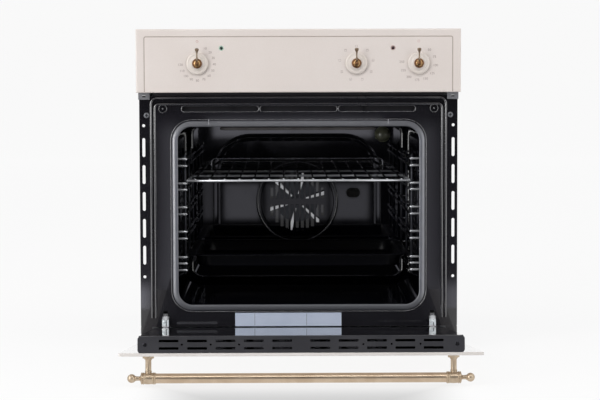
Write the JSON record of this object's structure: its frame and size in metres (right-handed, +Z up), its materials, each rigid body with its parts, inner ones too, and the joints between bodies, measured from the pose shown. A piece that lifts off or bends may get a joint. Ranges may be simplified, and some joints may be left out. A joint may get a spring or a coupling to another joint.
{
  "type": "built-in oven",
  "caption": "Classic built-in electric oven with cream control panel, lever knobs, open drop-down door, brass handle, wire rack and baking tray",
  "frame": {"origin": "middle of the base's front edge, on the underside, in the plane of the black front frame's face", "axes": "+X to the viewer's right, +Y from the viewer into the cabinet, +Z up"},
  "size_m": [0.595, 1.0231, 0.595],
  "materials": {
    "enamel_cream": "satin cream enamel",
    "black_enamel": "gloss black enamel",
    "cavity_enamel": "glossy blue-black vitreous enamel",
    "galvanised": "galvanised sheet",
    "zinc": "bright zinc plate",
    "spring_steel": "oiled spring steel",
    "wire_chrome": "polished chrome wire",
    "antique_brass": "aged dark brass",
    "knob_cream": "cream plastic",
    "outer_glass": "back-painted toughened glass",
    "inner_glass": "clear glass",
    "lamp_glass": "clear lamp glass",
    "lens_green": "dark green lens",
    "lens_red": "dark red lens",
    "gasket_grey": "grey silicone",
    "label_film": "pale plain film",
    "insulation_wool": "mineral wool blanket",
    "black_plastic": "matt black plastic",
    "heater_steel": "dark heater sheath",
    "blade_alloy": "plain aluminium",
    "ceramic_white": "white ceramic",
    "motor_steel": "laminated steel"
  },
  "bodies": {
    "housing": {"base_panel": "galvanised", "front_frame": "black_enamel", "side_panel_left": "galvanised", "side_panel_right": "galvanised", "top_cover": "galvanised", "rear_panel": "galvanised", "cavity_liner": "cavity_enamel", "insulation": "insulation_wool", "cavity_gasket": "gasket_grey", "rating_plate": "label_film", "fan_cover": "cavity_enamel", "fan_motor": "motor_steel", "oven_lamp_glass": "lamp_glass", "oven_lamp_holder": "ceramic_white", "oven_lamp_bulb": "lamp_glass", "top_elements": "heater_steel", "bottom_element": "heater_steel", "side_ladder_left": "wire_chrome", "side_ladder_right": "wire_chrome", "fascia": "enamel_cream", "control_bracket": "galvanised", "corner_brackets": "zinc", "timer_unit": "black_plastic", "selector_switch": "black_plastic", "thermostat_unit": "black_plastic", "pilot_lamp_green": "lens_green", "pilot_lamp_red": "lens_red", "cooling_fan_housing": "galvanised", "cooling_fan_motor": "motor_steel", "terminal_block": "black_plastic", "hinge_arm_left": "zinc", "hinge_arm_right": "zinc"},
    "door": {"door_outer_panel": "outer_glass", "door_side_profiles": "black_enamel", "door_top_cap": "black_plastic", "door_bottom_rail": "black_enamel", "door_inner_glass": "inner_glass", "door_middle_glass": "inner_glass", "handle_bar": "antique_brass", "handle_finials": "antique_brass", "handle_posts": "antique_brass", "hinge_channel_left": "zinc", "hinge_channel_right": "zinc", "hinge_springs": "spring_steel"},
    "hinge_clip_left_body": {"hinge_clip_left": "zinc"},
    "hinge_clip_right_body": {"hinge_clip_right": "zinc"},
    "hinge_rod_left_body": {"hinge_rod_left": "spring_steel"},
    "hinge_rod_right_body": {"hinge_rod_right": "spring_steel"},
    "rack": {"wire_rack": "wire_chrome"},
    "tray": {"baking_tray": "cavity_enamel"},
    "timer_knob": {"timer_knob_skirt": "knob_cream", "timer_knob_lever": "antique_brass"},
    "selector_knob": {"selector_knob_skirt": "knob_cream", "selector_knob_lever": "antique_brass"},
    "thermostat_knob": {"thermostat_knob_skirt": "knob_cream", "thermostat_knob_lever": "antique_brass"},
    "convection_fan": {"fan_blade": "blade_alloy", "fan_shaft": "spring_steel"},
    "cooling_fan": {"cooling_fan_rotor": "blade_alloy"}
  },
  "joints": [
    {"name": "door_hinge", "type": "hinge", "parent": "housing", "child": "door", "pos_m": [0, -0.012, 0.035], "axis": [-1, 0, 0], "range_deg": [0, 84.2]},
    {"name": "hinge_clip_left_pivot", "type": "hinge", "parent": "housing", "child": "hinge_clip_left_body", "pos_m": [-0.248, -0.005, 0.06], "axis": [1, 0, 0], "range_deg": [-90, 0]},
    {"name": "hinge_clip_right_pivot", "type": "hinge", "parent": "housing", "child": "hinge_clip_right_body", "pos_m": [0.248, -0.005, 0.06], "axis": [1, 0, 0], "range_deg": [-90, 0]},
    {"name": "hinge_rod_left_slide", "type": "slide", "parent": "door", "child": "hinge_rod_left_body", "axis": [0, -0.9949, 0.1011], "range_m": [0, 0.0187]},
    {"name": "hinge_rod_right_slide", "type": "slide", "parent": "door", "child": "hinge_rod_right_body", "axis": [0, -0.9949, 0.1011], "range_m": [0, 0.0187]},
    {"name": "wire_rack_slide", "type": "slide", "parent": "housing", "child": "rack", "axis": [0, 1, 0], "range_m": [-0.3, 0]},
    {"name": "baking_tray_slide", "type": "slide", "parent": "housing", "child": "tray", "axis": [0, 1, 0], "range_m": [-0.3, 0]},
    {"name": "timer_turn", "type": "hinge", "parent": "housing", "child": "timer_knob", "pos_m": [-0.185, -0.035, 0.532], "axis": [0, 1, 0], "range_deg": [0, 270]},
    {"name": "selector_turn", "type": "hinge", "parent": "housing", "child": "selector_knob", "pos_m": [0.106, -0.035, 0.532], "axis": [0, 1, 0], "continuous": true},
    {"name": "thermostat_turn", "type": "hinge", "parent": "housing", "child": "thermostat_knob", "pos_m": [0.22, -0.035, 0.532], "axis": [0, 1, 0], "range_deg": [0, 274]},
    {"name": "convection_fan_spin", "type": "hinge", "parent": "housing", "child": "convection_fan", "pos_m": [0, 0.442, 0.249], "axis": [0, 1, 0], "continuous": true},
    {"name": "cooling_fan_spin", "type": "hinge", "parent": "housing", "child": "cooling_fan", "pos_m": [0, 0.12, 0.515], "axis": [1, 0, 0], "continuous": true}
  ],
  "couplings": [
    {"joint": "hinge_rod_left_slide", "follows": "door_hinge", "m_per_rad": 0.0127},
    {"joint": "hinge_rod_right_slide", "follows": "door_hinge", "m_per_rad": 0.0127}
  ]
}
